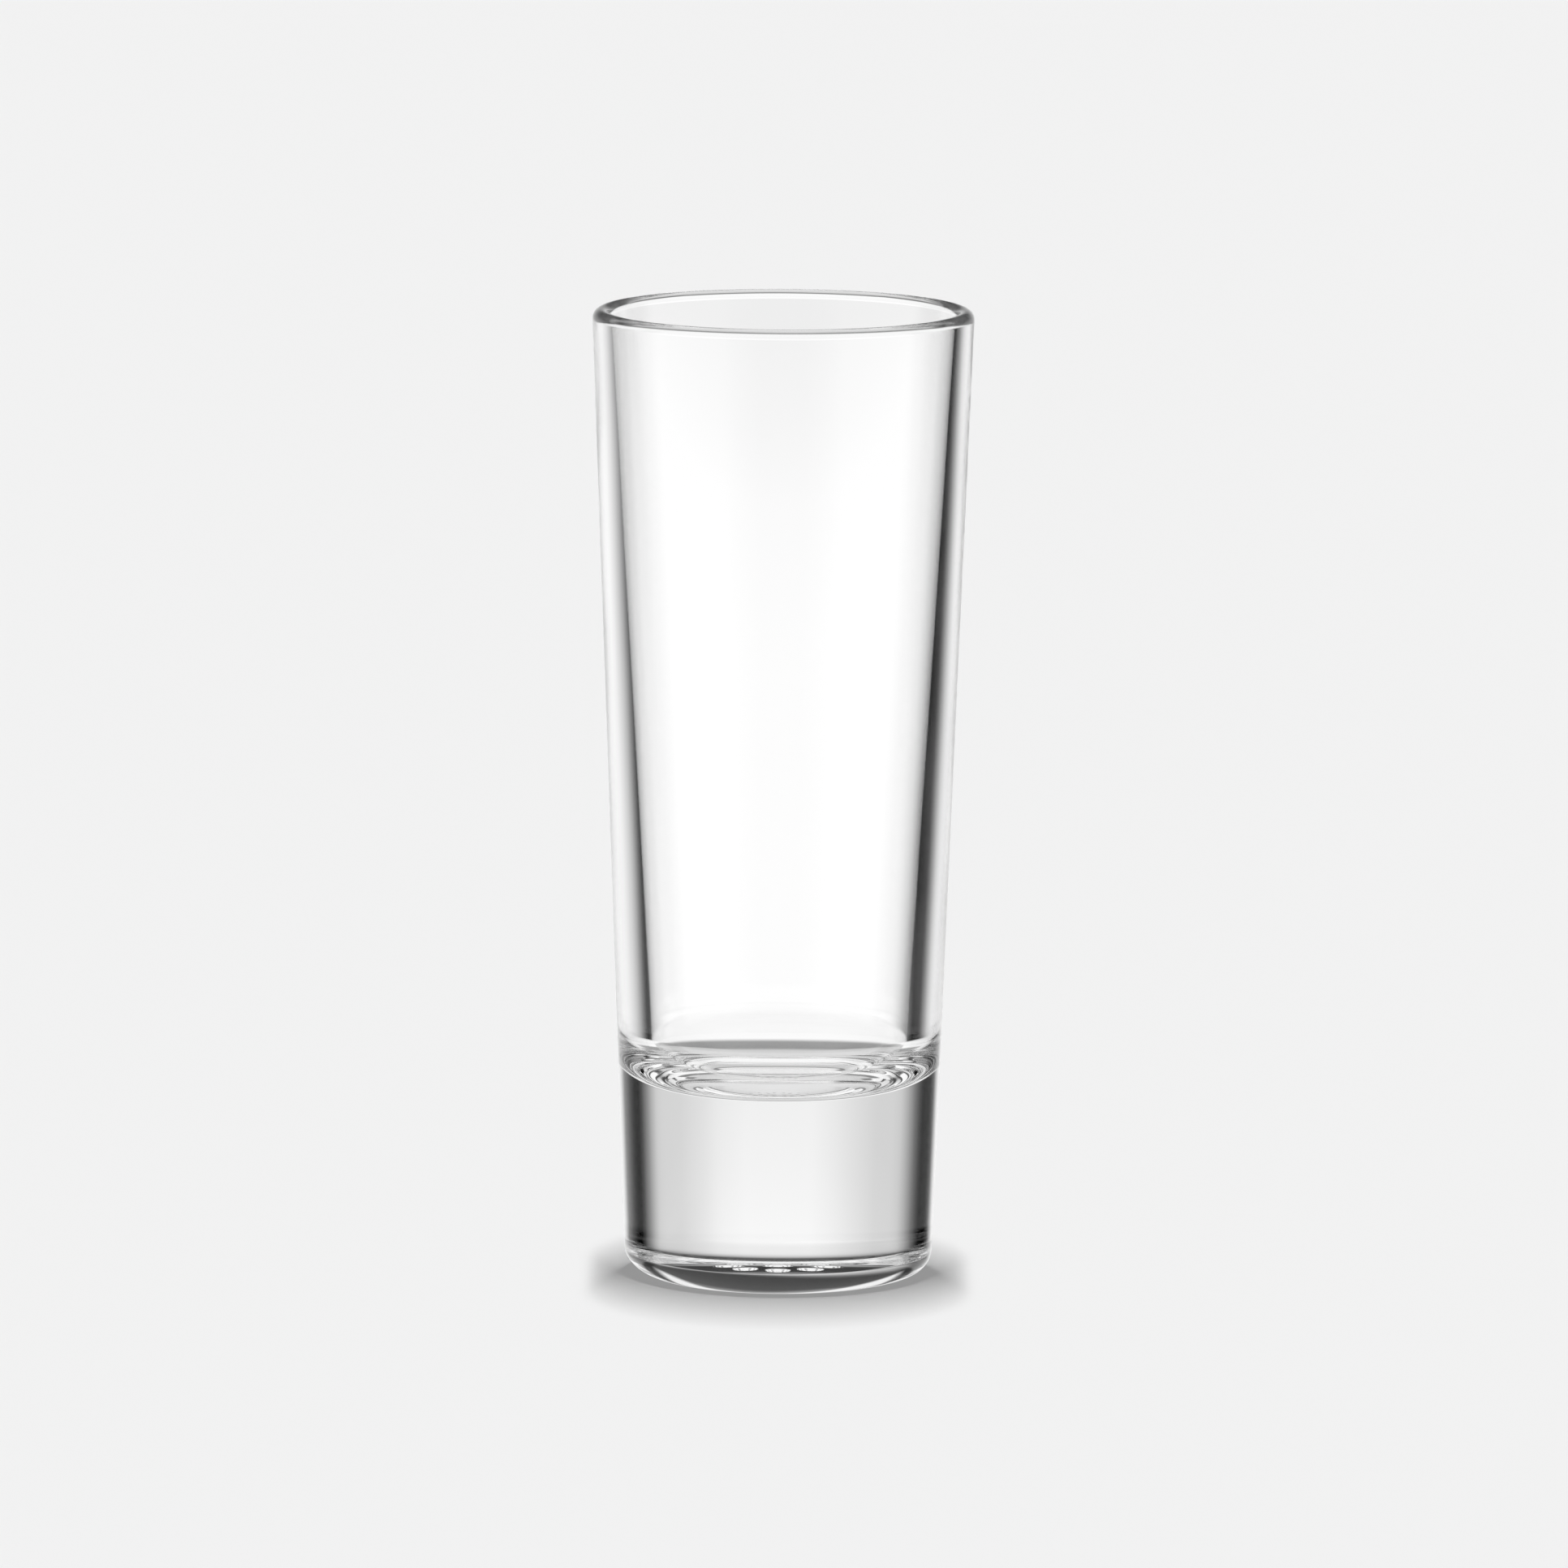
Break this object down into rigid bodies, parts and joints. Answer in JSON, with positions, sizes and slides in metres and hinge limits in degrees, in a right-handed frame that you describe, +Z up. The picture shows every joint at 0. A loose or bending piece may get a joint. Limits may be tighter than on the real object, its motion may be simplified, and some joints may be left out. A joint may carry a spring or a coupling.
{
  "type": "liqueur glass",
  "caption": "Tall tapered liqueur glass of clear pressed glass, with a heavy solid base, a rounded lip and a hollowed foot, for serving a small measure of liqueur or spirit.",
  "frame": {"origin": "centre of the flat ring that the glass stands on, in the plane of the table", "axes": "+Z up along the glass's axis, towards its mouth; +X and +Y are free, because the glass is round"},
  "size_m": [0.041, 0.041, 0.105],
  "materials": {
    "clear_glass": "clear, fire-polished"
  },
  "bodies": {
    "root": {"glass": "clear_glass"}
  },
  "joints": []
}
